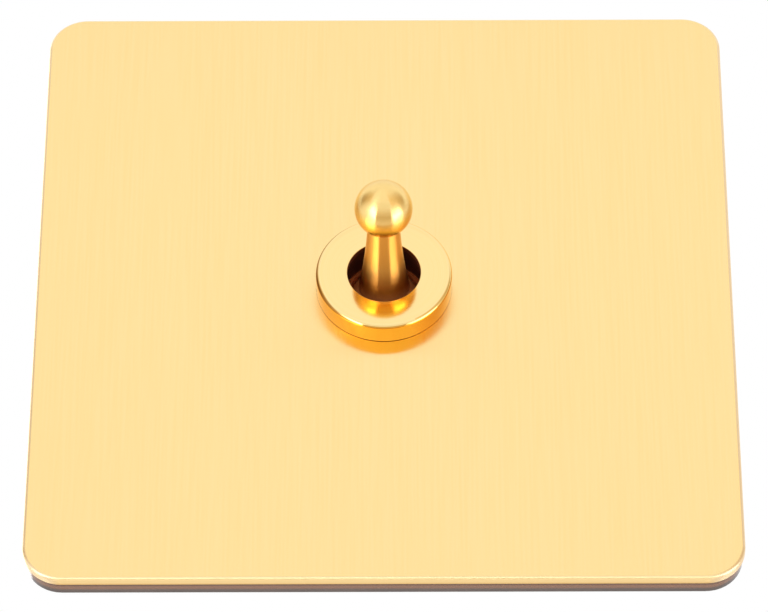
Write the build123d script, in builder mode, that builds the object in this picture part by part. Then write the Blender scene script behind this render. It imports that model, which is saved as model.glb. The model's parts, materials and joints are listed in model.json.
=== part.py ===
from build123d import *
import os
from math import cos, pi, radians, sin, sqrt, tan

# Two-way toggle light switch on a square screwless wall plate. Lengths are millimetres.
# X points right, Z up and Y into the wall. The origin is the centre of the wall plane,
# where the clear backing and the mounting strap rest on the wall. A height is measured
# from that plane towards the room, so what lies inside the wall has a negative height.

# Front plate
plate_side = 86.0
plate_thickness = 1.2
plate_corner_radius = 4.8
plate_arris_radius = 0.45

# Clear backing moulding, which carries the plate and snaps on to the strap
backing_thickness = 2.35
backing_inset = 0.2
backing_window_radius = 21.0
backing_edge_chamfer = 0.25
screw_head_radius = 4.0
screw_head_clearance = 2.0
clip_x = 18.0
clip_z = 28.6
clip_leg = 1.2
clip_width = 6.0
clip_hook = 0.9
clip_length = 2.2

# Mounting strap with its dished centre
strap_side = 70.0
strap_thickness = 1.0
strap_corner_radius = 3.0
strap_clearance = 0.4
fixing_spacing = 60.3
fixing_slot_width = 4.0
fixing_slot_length = 6.5
dish_depth = 3.0
dish_floor_radius = 13.0
dish_wall_angle = 45.0

# Earth terminal on the back of the strap
earth_x = -22.0
earth_z = -17.0
earth_block_width = 7.0
earth_block_height = 6.0
earth_block_depth = 6.6
earth_wire_radius = 1.6
earth_wire_depth = 2.5
earth_spigot_radius = 1.4

# Threaded bushing, its nut and lock washer, and the collar on the plate
thread_radius = 6.0
thread_clearance = 0.15
bushing_mouth_radius = 5.1
bushing_ledge_depth = 5.5
bushing_gap = 0.2
bushing_chamfer = 0.4
flange_radius = 7.5
flange_thickness = 1.2
washer_radius = 7.8
washer_thickness = 0.5
washer_teeth = 10
washer_notch_width = 1.2
washer_notch_depth = 1.2
nut_sides = 6
nut_across_flats = 15.0
nut_thickness = 2.0
nut_bevel_width = 1.2
nut_bevel_height = 0.3
collar_radius = 8.4
collar_height = 3.0
collar_bevel_width = 0.65
collar_bevel_height = 0.3
collar_foot_chamfer = 0.12
collar_lip = 0.8
collar_mouth_radius = 4.5
collar_mouth_chamfer = 0.1

# Lever, from its knob in front to its tail behind the pivot
pivot_depth = 4.0
knob_reach = 16.1
knob_radius = 3.55
neck_radius = 2.0
neck_mid_reach = 7.6
neck_mid_radius = 2.5
neck_root_radius = 3.2
pivot_ball_radius = 4.6
ball_clearance = 0.15
tail_radius = 2.0
tail_reach = 7.6
lever_half_throw = 11.0
pin_radius = 0.8
pin_length = 10.6
pin_running_clearance = 0.05
pin_end_chamfer = 0.15

# Insulating actuator on the tail, with the sprung plunger in it
actuator_radius = 3.2
actuator_start = 5.8
actuator_end = 12.2
actuator_edge = 0.3
plunger_radius = 1.6
plunger_clearance = 0.1
plunger_tip_radius = 1.2
plunger_tip_reach = 12.6
plunger_head = 1.3
spring_wire_radius = 0.18
spring_wire_sides = 6
spring_turns = 4
spring_length = 3.0
contact_gap = 0.04

# Rocker, which the plunger throws from one fixed contact to the other
rocker_half_throw = 7.0
rocker_width = 5.0
rocker_thickness = 0.8
rocker_arm = 10.6
rocker_contact_place = 9.0
trough_rim = 0.15
rivet_radius = 1.5
rivet_skirt = 0.25
rivet_height = 0.6
fixed_contact_radius = 1.5

# Terminals
ridge_height = 1.5
ridge_width = 2.4
ear_thickness = 0.7
ear_height = 1.2
terminal_strip_thickness = 0.8
strip_tab_length = 4.0
terminal_side = 7.0
terminal_depth = 8.0
terminal_spacing = 11.4
wire_radius = 1.75
wire_depth = 2.9
terminal_clearance = 0.1
screw_radius = 1.5
screw_clearance = 0.04
screw_length = 6.0
screw_backed_off = 0.2
screw_head_width = 5.0
screw_head_height = 1.5
screw_access_clearance = 0.5
screw_slot_width = 0.8
screw_slot_depth = 0.7

# Switch frame, case and terminal base
frame_thickness = 1.0
frame_bend_radius = 1.0
frame_leg_width = 10.0
frame_leg_length = 18.5
frame_gap = 0.1
case_width = 18.0
case_length = 34.0
case_edge_radius = 1.0
slot_width = 8.4
slot_length = 13.0
rocker_room_length = 24.4
rocker_room_height = 5.3
base_width = 22.0
base_rear_wall = 1.0
wire_channel_width = 8.0
wire_channel_roof = 1.0
lug_width = 4.4
lug_height = 1.6
lug_drop = 2.0
lug_clearance = 0.25

# Heights of the stack, from the room inwards
plate_back = backing_thickness
plate_front = plate_back + plate_thickness
collar_top = plate_front + collar_height
collar_lip_back = collar_top - collar_lip
bushing_front = collar_lip_back - bushing_gap
bushing_ledge = collar_top - bushing_ledge_depth
dish_front = strap_thickness - dish_depth
dish_back = dish_front - strap_thickness
washer_front = dish_front + washer_thickness
nut_front = washer_front + nut_thickness
frame_back = dish_back - frame_thickness
flange_back = frame_back - flange_thickness
pivot_height = plate_front - pivot_depth

# Sizes that follow from the fits
backing_side = plate_side - 2 * backing_inset
backing_corner_radius = plate_corner_radius - backing_inset
strap_hole_radius = thread_radius + thread_clearance
ball_bore_radius = pivot_ball_radius + ball_clearance
plunger_bore_radius = plunger_radius + plunger_clearance
clip_window_width = clip_width + 2 * strap_clearance
clip_window_height = clip_leg + 2 * strap_clearance
dish_rim_radius = dish_floor_radius + dish_depth / tan(radians(dish_wall_angle))
dish_bend = strap_thickness * tan(radians(dish_wall_angle / 2))

# The plunger's tip stays on the rocker's trough while both turn, so the trough is the
# arc through the tip's places at mid travel and at the end of travel, set off by the
# tip's radius. The rocker rests on the ridge, and turns about its crest.
tip_offset = plunger_tip_radius + contact_gap
fulcrum_reach = plunger_tip_reach + tip_offset + rocker_thickness + contact_gap
fulcrum_height = pivot_height - fulcrum_reach
throw = radians(lever_half_throw)
rock = radians(rocker_half_throw)
tip_side = plunger_tip_reach * sin(throw)
tip_lift = fulcrum_reach - plunger_tip_reach * cos(throw)
tip_end_along = tip_side * cos(rock) - tip_lift * sin(rock)
tip_end_above = tip_side * sin(rock) + tip_lift * cos(rock)
tip_mid_above = fulcrum_reach - plunger_tip_reach
tip_rise = tip_end_above - tip_mid_above
tip_path_radius = (tip_end_along**2 + tip_rise**2) / (2 * tip_rise)
trough_radius = tip_path_radius + tip_offset
trough_centre = tip_mid_above + tip_path_radius
touch_above = trough_centre - trough_radius * sqrt(1 - (tip_end_along / tip_path_radius) ** 2)
arm_front = touch_above + trough_rim
arm_back = arm_front - rocker_thickness

# The moving contacts are domed, so the closed one touches at the lowest point of its dome.
dome_rise = rivet_height - rivet_skirt
dome_radius = (rivet_radius**2 + dome_rise**2) / (2 * dome_rise)
dome_centre = arm_back - rivet_height + dome_radius
closed_contact_z = rocker_contact_place * cos(rock) + dome_centre * sin(rock)
closed_contact_depth = rocker_contact_place * sin(rock) - dome_centre * cos(rock) + dome_radius
fixed_contact_face = fulcrum_height - closed_contact_depth - contact_gap

base_front = fulcrum_height - ridge_height
strip_back = base_front - terminal_strip_thickness
terminal_back = strip_back - terminal_depth
wire_height = strip_back - wire_depth
base_back = terminal_back - base_rear_wall
terminal_places = {"upper": terminal_spacing, "common": 0.0, "lower": -terminal_spacing}


def facing(height):
    """Plane parallel to the wall at a height, looking into the room, with its y up."""
    return Plane.XZ.offset(height)


def upright(x=0.0):
    """Plane square to X, with its x up the wall and its y towards the room."""
    return Plane(origin=(x, 0, 0), x_dir=(0, 0, 1), z_dir=(1, 0, 0))


def across(x, height, z):
    """Plane square to X at a point of the row, for a hole that runs sideways."""
    return Plane(origin=(x, -height, z), x_dir=(0, 0, 1), z_dir=(1, 0, 0))


def export(piece, label):
    """Name a finished piece and write it as its own file."""
    piece.part.label = label
    export_step(piece.part, f"parts/{label}.step")


# Turned pieces are drawn with the radius along x and the height along y.
turning = Plane(origin=(0, 0, 0), x_dir=(1, 0, 0), z_dir=(0, 0, -1))
turning_axis = Axis((0, 0, 0), (0, -1, 0))

# The lever is drawn at rest, tilted up, with the reach from its pivot along y.
pivot_point = Vector(0, -pivot_height, 0)
lever_line = Vector(0, -cos(throw), sin(throw))
lever_turning = Plane(origin=pivot_point, x_dir=(1, 0, 0), z_dir=(0, -sin(throw), -cos(throw)))
lever_axis = Axis(pivot_point, lever_line)

# The rocker is drawn on its fulcrum with x along its upper arm, which stands forward.
rocker_line = Vector(0, -sin(rock), cos(rock))
rocker_plane = Plane(origin=(0, -fulcrum_height, 0), x_dir=rocker_line, z_dir=(1, 0, 0))

os.makedirs("parts", exist_ok=True)

# Front plate: one sheet with a soft front arris and a hole for the bushing.
with BuildPart() as front_plate:
    with BuildSketch(facing(plate_back)):
        RectangleRounded(plate_side, plate_side, plate_corner_radius)
        Circle(strap_hole_radius, mode=Mode.SUBTRACT)
    extrude(amount=plate_thickness)
    front_face = front_plate.faces().sort_by(Axis.Y)[0]
    fillet(front_face.outer_wire().edges(), plate_arris_radius)
export(front_plate, "front_plate")

# Clear backing: a rim round the strap, a web over it, and four clips through it.
with BuildPart() as clear_backing:
    with BuildSketch(facing(0)):
        RectangleRounded(backing_side, backing_side, backing_corner_radius)
    extrude(amount=backing_thickness)
    rear_face = clear_backing.faces().sort_by(Axis.Y)[-1]
    chamfer(rear_face.outer_wire().edges(), backing_edge_chamfer)
    strap_room = strap_side + 2 * strap_clearance
    with BuildSketch(facing(0)):
        RectangleRounded(strap_room, strap_room, strap_corner_radius + strap_clearance)
    extrude(amount=strap_thickness, mode=Mode.SUBTRACT)
    with BuildSketch(facing(0)):
        Circle(backing_window_radius)
        with GridLocations(fixing_spacing, 0, 2, 1):
            Circle(screw_head_radius + screw_head_clearance)
    extrude(amount=backing_thickness, mode=Mode.SUBTRACT)
    with BuildSketch(upright(-clip_x), upright(clip_x)):
        with BuildLine():
            Polyline(
                (clip_z - clip_leg / 2, strap_thickness),
                (clip_z + clip_leg / 2, strap_thickness),
                (clip_z + clip_leg / 2, -contact_gap),
                (clip_z + clip_leg / 2 + clip_hook, -contact_gap),
                (clip_z + clip_leg / 2, -clip_length),
                (clip_z - clip_leg / 2, -clip_length),
                close=True,
            )
        make_face()
        mirror(about=Plane.YZ)
    extrude(amount=clip_width / 2, both=True)
export(clear_backing, "clear_backing")

# Mounting strap: pressed steel, dished in the middle so that the nut lies below the plate.
with BuildPart() as mounting_strap:
    with BuildSketch(facing(0)):
        RectangleRounded(strap_side, strap_side, strap_corner_radius)
        Circle(dish_rim_radius + dish_bend, mode=Mode.SUBTRACT)
        with GridLocations(fixing_spacing, 0, 2, 1):
            SlotOverall(fixing_slot_length, fixing_slot_width, mode=Mode.SUBTRACT)
        with GridLocations(2 * clip_x, 2 * clip_z, 2, 2):
            Rectangle(clip_window_width, clip_window_height, mode=Mode.SUBTRACT)
        with Locations((earth_x, earth_z)):
            Circle(earth_spigot_radius + screw_clearance, mode=Mode.SUBTRACT)
    extrude(amount=strap_thickness)
    with BuildSketch(turning):
        with BuildLine():
            Polyline(
                (dish_rim_radius + dish_bend, strap_thickness),
                (dish_rim_radius, strap_thickness),
                (dish_floor_radius, dish_front),
                (strap_hole_radius, dish_front),
                (strap_hole_radius, dish_back),
                (dish_floor_radius + dish_bend, dish_back),
                (dish_rim_radius + dish_bend, 0),
                close=True,
            )
        make_face()
    revolve(axis=turning_axis)
export(mounting_strap, "mounting_strap")

# Earth terminal: a brass block riveted to the strap by its spigot.
earth_screw_hole = -(earth_block_depth - earth_wire_depth)
with BuildPart() as earth_terminal:
    with BuildSketch(facing(-earth_block_depth)):
        with Locations((earth_x, earth_z)):
            Rectangle(earth_block_width, earth_block_height)
    extrude(amount=earth_block_depth)
    chamfer(earth_terminal.edges().filter_by(Axis.Y), actuator_edge)
    with BuildSketch(facing(0)):
        with Locations((earth_x, earth_z)):
            Circle(earth_spigot_radius)
    extrude(amount=strap_thickness)
    with Locations(across(earth_x, -earth_wire_depth, earth_z)):
        Hole(earth_wire_radius)
    with BuildSketch(facing(-earth_block_depth)):
        with Locations((earth_x, earth_z)):
            Circle(screw_radius + screw_clearance)
    extrude(amount=-earth_screw_hole, mode=Mode.SUBTRACT)
export(earth_terminal, "earth_terminal")


def terminal_screw(places, tip_height):
    """Slotted cheese-head screws, driven from the back, with their tips at a height."""
    head_height = tip_height - screw_length
    with BuildPart() as screws:
        with BuildSketch(facing(tip_height)):
            with Locations(places):
                Circle(screw_radius)
        extrude(amount=-screw_length)
        with BuildSketch(facing(head_height)):
            with Locations(places):
                Circle(screw_head_width / 2)
        extrude(amount=-screw_head_height)
        with BuildSketch(facing(head_height - screw_head_height)):
            with Locations(places):
                Rectangle(screw_head_width, screw_slot_width)
        extrude(amount=screw_slot_depth, mode=Mode.SUBTRACT)
    return screws


earth_tip = -earth_wire_depth - earth_wire_radius - screw_backed_off
earth_screw = terminal_screw([(earth_x, earth_z)], earth_tip)
export(earth_screw, "earth_screw")

# Bushing: threaded outside, flanged behind the frame, with a ledge above the pivot ball.
with BuildPart() as bushing:
    with BuildSketch(turning):
        with BuildLine():
            Polyline(
                (bushing_mouth_radius, bushing_front),
                (thread_radius - bushing_chamfer, bushing_front),
                (thread_radius, bushing_front - bushing_chamfer),
                (thread_radius, frame_back),
                (flange_radius, frame_back),
                (flange_radius, flange_back),
                (ball_bore_radius, flange_back),
                (ball_bore_radius, bushing_ledge),
                (bushing_mouth_radius, bushing_ledge),
                close=True,
            )
        make_face()
    revolve(axis=turning_axis)
    with Locations(across(0, pivot_height, 0)):
        Hole(pin_radius + pin_running_clearance)
export(bushing, "bushing")

# Lock washer with notches round its bore.
with BuildPart() as lock_washer:
    with BuildSketch(facing(dish_front)):
        Circle(washer_radius)
        Circle(strap_hole_radius, mode=Mode.SUBTRACT)
        with PolarLocations(strap_hole_radius, washer_teeth):
            Rectangle(2 * washer_notch_depth, washer_notch_width, mode=Mode.SUBTRACT)
    extrude(amount=washer_thickness)
export(lock_washer, "lock_washer")

# Hexagon nut, turned down at its front corners.
nut_corner_radius = nut_across_flats / 2 / cos(pi / nut_sides)
with BuildPart() as hexagon_nut:
    with BuildSketch(facing(washer_front)):
        RegularPolygon(nut_across_flats / 2, nut_sides, major_radius=False)
        Circle(thread_radius + screw_clearance, mode=Mode.SUBTRACT)
    extrude(amount=nut_thickness)
    with BuildSketch(turning):
        with BuildLine():
            Polyline(
                (0, washer_front),
                (nut_corner_radius, washer_front),
                (nut_corner_radius, nut_front - nut_bevel_height),
                (nut_corner_radius - nut_bevel_width, nut_front),
                (0, nut_front),
                close=True,
            )
        make_face()
    revolve(axis=turning_axis, mode=Mode.INTERSECT)
export(hexagon_nut, "hexagon_nut")

# Collar: a smooth ring screwed on to the bushing, with a lip over its end.
with BuildPart() as collar:
    with BuildSketch(turning):
        with BuildLine():
            Polyline(
                (collar_mouth_radius + collar_mouth_chamfer, collar_top),
                (collar_radius - collar_bevel_width, collar_top),
                (collar_radius, collar_top - collar_bevel_height),
                (collar_radius, plate_front + collar_foot_chamfer),
                (collar_radius - collar_foot_chamfer, plate_front),
                (thread_radius + screw_clearance, plate_front),
                (thread_radius + screw_clearance, collar_lip_back),
                (collar_mouth_radius, collar_lip_back),
                (collar_mouth_radius, collar_top - collar_mouth_chamfer),
                close=True,
            )
        make_face()
    revolve(axis=turning_axis)
export(collar, "collar")

# Lever: knob, waisted neck, pivot ball and tail, turned in one piece and cross-drilled.
knob_joint = knob_reach - sqrt(knob_radius**2 - neck_radius**2)
neck_root_reach = sqrt(pivot_ball_radius**2 - neck_root_radius**2)
tail_joint = sqrt(pivot_ball_radius**2 - tail_radius**2)
with BuildPart() as lever:
    with BuildSketch(lever_turning):
        with BuildLine():
            ThreePointArc(
                (0, knob_reach + knob_radius),
                (knob_radius, knob_reach),
                (neck_radius, knob_joint),
            )
            ThreePointArc(
                (neck_radius, knob_joint),
                (neck_mid_radius, neck_mid_reach),
                (neck_root_radius, neck_root_reach),
            )
            ThreePointArc(
                (neck_root_radius, neck_root_reach),
                (pivot_ball_radius, 0),
                (tail_radius, -tail_joint),
            )
            Polyline(
                (tail_radius, -tail_joint),
                (tail_radius, -tail_reach),
                (0, -tail_reach),
                (0, knob_reach + knob_radius),
            )
        make_face()
    revolve(axis=lever_axis)
    with Locations(across(0, pivot_height, 0)):
        Hole(pin_radius)
export(lever, "lever")

# Pivot pin across the bushing, held in the lever's ball.
with BuildPart() as pivot_pin:
    with BuildSketch(across(0, pivot_height, 0)):
        Circle(pin_radius)
    extrude(amount=pin_length / 2, both=True)
    chamfer(pivot_pin.edges().filter_by(GeomType.CIRCLE), pin_end_chamfer)
export(pivot_pin, "pivot_pin")

# Actuator: an insulating sleeve pressed on the tail, bored for the plunger behind it.
with BuildPart() as actuator:
    with BuildSketch(lever_turning):
        with BuildLine():
            Polyline(
                (tail_radius, -actuator_start),
                (actuator_radius - actuator_edge, -actuator_start),
                (actuator_radius, -actuator_start - actuator_edge),
                (actuator_radius, -actuator_end + actuator_edge),
                (actuator_radius - actuator_edge, -actuator_end),
                (plunger_bore_radius, -actuator_end),
                (plunger_bore_radius, -tail_reach),
                (tail_radius, -tail_reach),
                close=True,
            )
        make_face()
    revolve(axis=lever_axis)
export(actuator, "actuator")

# Plunger: a headed pin with a round tip that runs in the rocker's trough.
plunger_back = tail_reach + spring_length
with BuildPart() as plunger:
    with BuildSketch(lever_turning):
        with BuildLine():
            Polyline(
                (0, -plunger_tip_reach - plunger_tip_radius),
                (0, -plunger_back),
                (plunger_radius, -plunger_back),
                (plunger_radius, -plunger_back - plunger_head),
                (plunger_tip_radius, -plunger_back - plunger_head),
                (plunger_tip_radius, -plunger_tip_reach),
            )
            RadiusArc(
                (plunger_tip_radius, -plunger_tip_reach),
                (0, -plunger_tip_reach - plunger_tip_radius),
                plunger_tip_radius,
            )
        make_face()
    revolve(axis=lever_axis)
export(plunger, "plunger")

# Plunger spring: the wire has flats here, because it is too fine to need a round section.
spring_coil_radius = plunger_radius - spring_wire_radius
spring_rise = spring_length - 2 * (spring_wire_radius + contact_gap)
spring_start = pivot_point - lever_line * (tail_reach + spring_wire_radius + contact_gap)
with BuildPart() as plunger_spring:
    with BuildLine():
        coil = Helix(
            pitch=spring_rise / spring_turns,
            height=spring_rise,
            radius=spring_coil_radius,
            center=spring_start,
            direction=-lever_line,
        )
    with BuildSketch(Plane(origin=coil @ 0, z_dir=coil % 0)):
        RegularPolygon(spring_wire_radius, spring_wire_sides)
    sweep()
export(plunger_spring, "plunger_spring")

# Rocker: a folded copper bar with a trough for the plunger between its two arms.
trough_front_half = sqrt(trough_radius**2 - (trough_centre - arm_front) ** 2)
trough_back_radius = trough_radius + rocker_thickness
trough_back_half = sqrt(trough_back_radius**2 - (trough_centre - arm_back) ** 2)
with BuildPart() as rocker:
    with BuildSketch(rocker_plane):
        with BuildLine():
            ThreePointArc(
                (-trough_front_half, arm_front),
                (0, trough_centre - trough_radius),
                (trough_front_half, arm_front),
            )
            Polyline(
                (trough_front_half, arm_front),
                (rocker_arm, arm_front),
                (rocker_arm, arm_back),
                (trough_back_half, arm_back),
            )
            ThreePointArc(
                (trough_back_half, arm_back),
                (0, trough_centre - trough_back_radius),
                (-trough_back_half, arm_back),
            )
            Polyline(
                (-trough_back_half, arm_back),
                (-rocker_arm, arm_back),
                (-rocker_arm, arm_front),
                (-trough_front_half, arm_front),
            )
        make_face()
    extrude(amount=rocker_width / 2, both=True)
export(rocker, "rocker")

# Silver contacts on the back of the rocker's arms, domed towards the fixed ones.
rocker_normal = Vector(0, -cos(rock), -sin(rock))
with BuildPart() as rocker_contacts:
    for side in (-1, 1):
        seat = Vector(0, -fulcrum_height, 0) + rocker_line * (side * rocker_contact_place)
        seat += rocker_normal * arm_back
        dome_section = Plane(origin=seat, x_dir=(1, 0, 0), z_dir=rocker_line * -1)
        with BuildSketch(dome_section):
            with BuildLine():
                Polyline((0, -rivet_height), (0, 0), (rivet_radius, 0), (rivet_radius, -rivet_skirt))
                RadiusArc((rivet_radius, -rivet_skirt), (0, -rivet_height), dome_radius)
            make_face()
        revolve(axis=Axis(seat, rocker_normal))
export(rocker_contacts, "rocker_contacts")

# Fixed silver contacts on the upper and lower terminal strips.
with BuildPart() as fixed_contacts:
    with BuildSketch(facing(base_front)):
        with GridLocations(0, 2 * closed_contact_z, 1, 2):
            Circle(fixed_contact_radius)
    extrude(amount=fixed_contact_face - base_front)
export(fixed_contacts, "fixed_contacts")


def terminal_strip(place):
    """Flat strip on a terminal block, with a tab folded down the block's closed side."""
    with BuildPart() as strip:
        with BuildSketch(facing(strip_back)):
            with Locations((0, place)):
                Rectangle(terminal_side, terminal_side)
        extrude(amount=terminal_strip_thickness)
        with BuildSketch(facing(base_front - strip_tab_length)):
            with Locations((-(terminal_side + terminal_strip_thickness) / 2, place)):
                Rectangle(terminal_strip_thickness, terminal_side)
        extrude(amount=strip_tab_length)
    return strip


for name in ("upper", "lower"):
    export(terminal_strip(terminal_places[name]), f"{name}_strip")

# Common strip: its ridge carries the rocker, and two ears keep the rocker in line.
flat_strip = terminal_strip(terminal_places["common"]).part
with BuildPart() as common_strip:
    add(flat_strip)
    with BuildSketch(upright()):
        with BuildLine():
            Polyline(
                (-ridge_width / 2, base_front),
                (0, fulcrum_height),
                (ridge_width / 2, base_front),
                close=True,
            )
        make_face()
    extrude(amount=rocker_width / 2, both=True)
    with BuildSketch(facing(base_front)):
        with GridLocations(terminal_side - ear_thickness, 0, 2, 1):
            Rectangle(ear_thickness, ridge_width)
    extrude(amount=ridge_height + ear_height)
export(common_strip, "common_strip")


def terminal_block(place):
    """Brass pillar with a cross bore for the wire and a tapped hole from the back."""
    with BuildPart() as block:
        with BuildSketch(facing(terminal_back)):
            with Locations((0, place)):
                Rectangle(terminal_side, terminal_side)
        extrude(amount=terminal_depth)
        with Locations(across(0, wire_height, place)):
            Hole(wire_radius)
        with BuildSketch(facing(terminal_back)):
            with Locations((0, place)):
                Circle(screw_radius + screw_clearance)
        extrude(amount=wire_height - terminal_back, mode=Mode.SUBTRACT)
    return block


for name, place in terminal_places.items():
    export(terminal_block(place), f"{name}_terminal")

wire_screw_tip = wire_height - wire_radius - screw_backed_off
wire_screws = terminal_screw([(0, place) for place in terminal_places.values()], wire_screw_tip)
export(wire_screws, "terminal_screws")

# Switch frame: a folded steel strap over the case, whose legs latch on the base's lugs.
lug_top = base_front - lug_drop
leg_inside = case_length / 2 + frame_gap
leg_outside = leg_inside + frame_thickness
frame_foot = dish_back - frame_leg_length
leg_cut = 4 * frame_thickness
with BuildPart() as switch_frame:
    with BuildSketch(upright()):
        with BuildLine():
            Polyline(
                (-leg_outside, frame_foot),
                (-leg_outside, dish_back),
                (leg_outside, dish_back),
                (leg_outside, frame_foot),
                (leg_inside, frame_foot),
                (leg_inside, frame_back),
                (-leg_inside, frame_back),
                (-leg_inside, frame_foot),
                close=True,
            )
        make_face()
    extrude(amount=case_width / 2, both=True)
    bends = switch_frame.edges().filter_by(Axis.X).group_by(Axis.Y)[0]
    fillet(bends, frame_bend_radius)
    leg_trim = (case_width - frame_leg_width) / 2
    with BuildSketch(facing(frame_foot)):
        with GridLocations(case_width - leg_trim, 2 * leg_outside, 2, 2):
            Rectangle(leg_trim, leg_cut)
    extrude(amount=frame_leg_length - 2 * frame_thickness, mode=Mode.SUBTRACT)
    with BuildSketch(facing(dish_back)):
        Circle(strap_hole_radius)
    extrude(amount=-frame_thickness, mode=Mode.SUBTRACT)
    with BuildSketch(facing(lug_top + lug_clearance)):
        with GridLocations(0, 2 * leg_outside, 1, 2):
            Rectangle(lug_width + 2 * lug_clearance, leg_cut)
    extrude(amount=-lug_height - 2 * lug_clearance, mode=Mode.SUBTRACT)
export(switch_frame, "switch_frame")

# Case: a moulding round the actuator, with room for the rocker at its open back.
with BuildPart() as case:
    with BuildSketch(facing(base_front)):
        Rectangle(case_width, case_length)
    extrude(amount=frame_back - base_front)
    fillet(case.edges().filter_by(Axis.Y), case_edge_radius)
    with BuildSketch(facing(frame_back)):
        Circle(flange_radius + thread_clearance)
    extrude(amount=-flange_thickness, mode=Mode.SUBTRACT)
    with BuildSketch(facing(base_front)):
        Rectangle(slot_width, slot_length)
    extrude(amount=flange_back - base_front, mode=Mode.SUBTRACT)
    with BuildSketch(facing(base_front)):
        Rectangle(slot_width, rocker_room_length)
    extrude(amount=rocker_room_height, mode=Mode.SUBTRACT)
export(case, "case")

# Terminal base: a pocket for each terminal, open to the side between barrier fins.
pocket_side = terminal_side + 2 * terminal_clearance
pocket_left = -terminal_side / 2 - terminal_strip_thickness - terminal_clearance
pocket_right = terminal_side / 2 + terminal_clearance
with BuildPart() as terminal_base:
    with BuildSketch(facing(base_back)):
        Rectangle(base_width, case_length)
    extrude(amount=base_front - base_back)
    fillet(terminal_base.edges().filter_by(Axis.Y), case_edge_radius)
    with BuildSketch(facing(base_front)):
        for place in terminal_places.values():
            with Locations(((pocket_left + pocket_right) / 2, place)):
                Rectangle(pocket_right - pocket_left, pocket_side)
    extrude(amount=terminal_back - base_front, mode=Mode.SUBTRACT)
    with BuildSketch(facing(base_back)):
        for place in terminal_places.values():
            with Locations(((pocket_right + base_width) / 2, place)):
                Rectangle(base_width - pocket_right, wire_channel_width)
    extrude(amount=base_front - wire_channel_roof - base_back, mode=Mode.SUBTRACT)
    with BuildSketch(facing(base_back)):
        with Locations([(0, place) for place in terminal_places.values()]):
            Circle(screw_head_width / 2 + screw_access_clearance)
    extrude(amount=base_rear_wall, mode=Mode.SUBTRACT)
    with BuildSketch(upright()):
        with BuildLine():
            Polyline(
                (case_length / 2, lug_top),
                (leg_outside - frame_gap, lug_top),
                (case_length / 2, lug_top - lug_height),
                close=True,
            )
        make_face()
        mirror(about=Plane.YZ)
    extrude(amount=lug_width / 2, both=True)
export(terminal_base, "terminal_base")
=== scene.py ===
import json
from math import asin, cos, degrees, radians, sin, sqrt, tan, tau

import bmesh
import bpy
from mathutils import Matrix, Vector


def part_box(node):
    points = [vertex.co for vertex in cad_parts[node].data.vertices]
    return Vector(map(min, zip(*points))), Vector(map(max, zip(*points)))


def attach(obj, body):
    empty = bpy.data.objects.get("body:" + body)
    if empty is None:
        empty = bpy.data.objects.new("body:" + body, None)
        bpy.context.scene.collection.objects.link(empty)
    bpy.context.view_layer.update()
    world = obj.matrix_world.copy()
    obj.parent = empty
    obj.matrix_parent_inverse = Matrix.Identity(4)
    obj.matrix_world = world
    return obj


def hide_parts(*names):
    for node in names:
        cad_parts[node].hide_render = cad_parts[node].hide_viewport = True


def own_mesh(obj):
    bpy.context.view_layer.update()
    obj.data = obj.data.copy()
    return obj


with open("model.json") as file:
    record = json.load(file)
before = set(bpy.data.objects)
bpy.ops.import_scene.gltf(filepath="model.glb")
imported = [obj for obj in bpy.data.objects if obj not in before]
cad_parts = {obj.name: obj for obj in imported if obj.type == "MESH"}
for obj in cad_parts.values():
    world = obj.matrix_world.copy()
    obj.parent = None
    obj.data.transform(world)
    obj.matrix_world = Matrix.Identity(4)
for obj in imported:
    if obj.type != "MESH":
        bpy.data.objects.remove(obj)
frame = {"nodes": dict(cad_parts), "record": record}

# Two-way toggle light switch, seen from the front and from below. X points right, Z up
# and Y into the wall, in metres, as the frame is. Lengths here are written in millimetres
# times mm. A height is how far something stands out into the room, so it lies along -Y.
mm = 0.001

bpy.ops.object.select_all(action="DESELECT")
nodes = frame["nodes"]
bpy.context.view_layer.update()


# Camera: a long lens in front of the plate and below it, as the photograph was taken.
camera_place = Vector((3.6755, -474.951, -350.018)) * mm
camera_turn = (126.3582, -0.0902, 0.3812)
camera_lens = 222.664
sensor_width = 36.0
camera_near = 10 * mm

bpy.ops.object.camera_add(location=camera_place, rotation=[radians(a) for a in camera_turn])
camera = bpy.context.object
camera.data.sensor_width = sensor_width
camera.data.lens = camera_lens
camera.data.clip_start = camera_near
bpy.context.scene.camera = camera
bpy.context.scene.view_settings.view_transform = "Standard"


# Sizes that the new pieces share with the solids, in millimetres

towards_room = Vector((0, -1, 0))
plate_front = 3.55
plate_back = 2.35
plate_side = 86.0
plate_corner = 4.8
plate_arris = 0.45
plate_hole = 6.15

collar_radius = 8.4
collar_top = 6.55
collar_rim = 0.5
collar_foot = 0.07
collar_foot_rounding = 0.03
collar_undercut = 0.3
collar_mouth = 4.5
collar_mouth_rounding = 0.1
collar_lip_back = 5.75
collar_lip_rounding = 0.05
collar_bore = 6.04

# A reach is a height along the lever from its pivot.
pivot_height = -0.45
lever_tilt = radians(11.0)
lever_axis = Vector((0, -cos(lever_tilt), sin(lever_tilt)))
pivot = towards_room * pivot_height * mm
knob_reach = 16.1
knob_radius = 3.55
groove_depth = 0.035
groove_width = 0.12
groove_flank = 0.04
neck_radius = 2.0
neck_mid_reach = 7.6
neck_mid_radius = 2.5
neck_root_radius = 3.2
pivot_ball_radius = 4.6
tail_radius = 2.0
tail_reach = 7.6
neck_top_reach = knob_reach - sqrt(knob_radius ** 2 - neck_radius ** 2)
neck_root_reach = sqrt(pivot_ball_radius ** 2 - neck_root_radius ** 2)

spring_length = 3.0
spring_wire = 0.18
spring_turns = 4
spring_coil_radius = 1.42
spring_end_gap = 0.22

screw_radius = 1.5
screw_thread_depth = 0.22
screw_pitch = 0.5
screw_head_height = 1.5
screw_head_top_rounding = 0.25
screw_head_back_rounding = 0.08
screw_slot_width = 0.8
screw_slot_depth = 0.7


# Materials: the small functions that they share


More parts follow.
